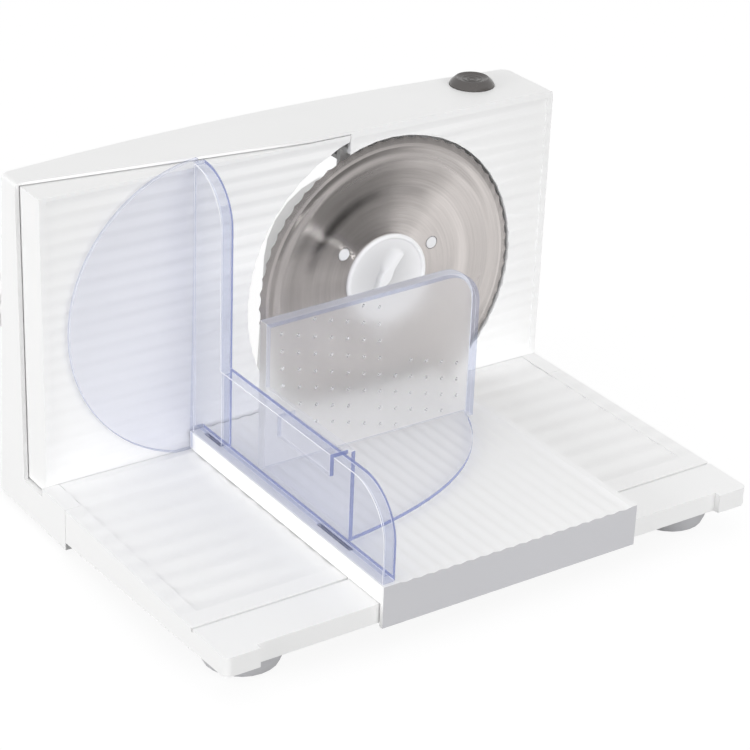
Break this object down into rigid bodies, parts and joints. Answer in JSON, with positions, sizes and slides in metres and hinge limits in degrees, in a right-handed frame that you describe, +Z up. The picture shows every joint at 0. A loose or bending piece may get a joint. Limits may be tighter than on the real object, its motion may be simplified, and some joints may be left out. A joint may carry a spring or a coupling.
{
  "type": "food slicer",
  "caption": "Electric food slicer: round serrated blade in an upright housing, dial-set stop plate, folding-style table and a sliding carriage with clear guard and pusher.",
  "frame": {"origin": "on the counter, under the middle of the whole machine", "axes": "+X along the carriage travel to the right, +Y to the back, +Z up"},
  "size_m": [0.337, 0.265, 0.2035],
  "materials": {
    "white_plastic": "satin",
    "white_gloss": "gloss",
    "grey_rubber": "matte",
    "blade_steel": "brushed",
    "steel": "satin",
    "bronze": "satin",
    "zinc_plate": "satin",
    "black_plastic": "gloss",
    "clear_plastic": "clear"
  },
  "bodies": {
    "housing": {"housing_shell": "white_plastic", "rear_cover": "white_plastic", "cover_screw_1": "zinc_plate", "cover_screw_2": "zinc_plate", "cover_screw_3": "zinc_plate", "cover_screw_4": "zinc_plate", "cord_inlet": "black_plastic", "table": "white_plastic", "hinge_pin_left": "steel", "hinge_pin_right": "steel", "front_foot_left": "grey_rubber", "front_foot_right": "grey_rubber", "rear_foot_left": "grey_rubber", "rear_foot_right": "grey_rubber", "spindle_bush": "bronze", "motor_can": "zinc_plate", "motor_end_cap": "black_plastic", "motor_bracket": "zinc_plate", "motor_screw_1": "steel", "motor_screw_2": "steel", "bracket_screw_1": "steel", "bracket_screw_2": "steel", "button_spring": "steel", "micro_switch": "black_plastic", "guide_rod_upper": "steel", "guide_rod_lower": "steel"},
    "carriage": {"carriage_tray": "white_plastic", "carriage_guard": "clear_plastic"},
    "pusher": {"pusher": "clear_plastic"},
    "dial": {"thickness_dial": "white_plastic", "cam_pin": "steel"},
    "stop": {"stop_plate": "white_plastic", "cam_sleeve": "white_gloss"},
    "cutter": {"blade": "blade_steel", "blade_carrier": "white_gloss", "spindle_axle": "steel", "drive_gear": "white_gloss"},
    "rotor": {"motor_rotor": "steel", "worm": "bronze"},
    "button": {"power_button": "black_plastic"},
    "knob": {"blade_knob": "white_gloss"}
  },
  "joints": [
    {"name": "carriage_slide", "type": "slide", "parent": "housing", "child": "carriage", "axis": [1, 0, 0], "range_m": [-0.072, 0.059]},
    {"name": "pusher_slide", "type": "slide", "parent": "carriage", "child": "pusher", "axis": [0, 1, 0], "range_m": [-0.012, 0.046]},
    {"name": "thickness_dial", "type": "hinge", "parent": "housing", "child": "dial", "pos_m": [-0.14925, 0.13253, 0.112], "axis": [0, -1, 0], "range_deg": [0, 301]},
    {"name": "stop_plate_slide", "type": "slide", "parent": "housing", "child": "stop", "axis": [0, 1, 0], "range_m": [0, 0.015]},
    {"name": "motor_spin", "type": "hinge", "parent": "housing", "child": "rotor", "pos_m": [0.0559, 0.09547, 0.066], "axis": [-1, 0, 0], "continuous": true},
    {"name": "blade_spin", "type": "hinge", "parent": "housing", "child": "cutter", "pos_m": [0.0559, 0.06247, 0.103], "axis": [0, -1, 0], "continuous": true},
    {"name": "knob_turn", "type": "hinge", "parent": "cutter", "child": "knob", "pos_m": [0.0559, 0.06247, 0.103], "axis": [0, -1, 0], "range_deg": [0, 90]},
    {"name": "button_press", "type": "slide", "parent": "housing", "child": "button", "axis": [0, 0, -1], "range_m": [0, 0.003], "stiffness_N_per_m": 400, "springref_m": -0.003, "deforming": ["button_spring"]}
  ],
  "couplings": [
    {"joint": "thickness_dial", "follows": "stop_plate_slide", "rad_per_m": 349.07},
    {"joint": "blade_spin", "follows": "motor_spin", "ratio": 0.033333}
  ]
}
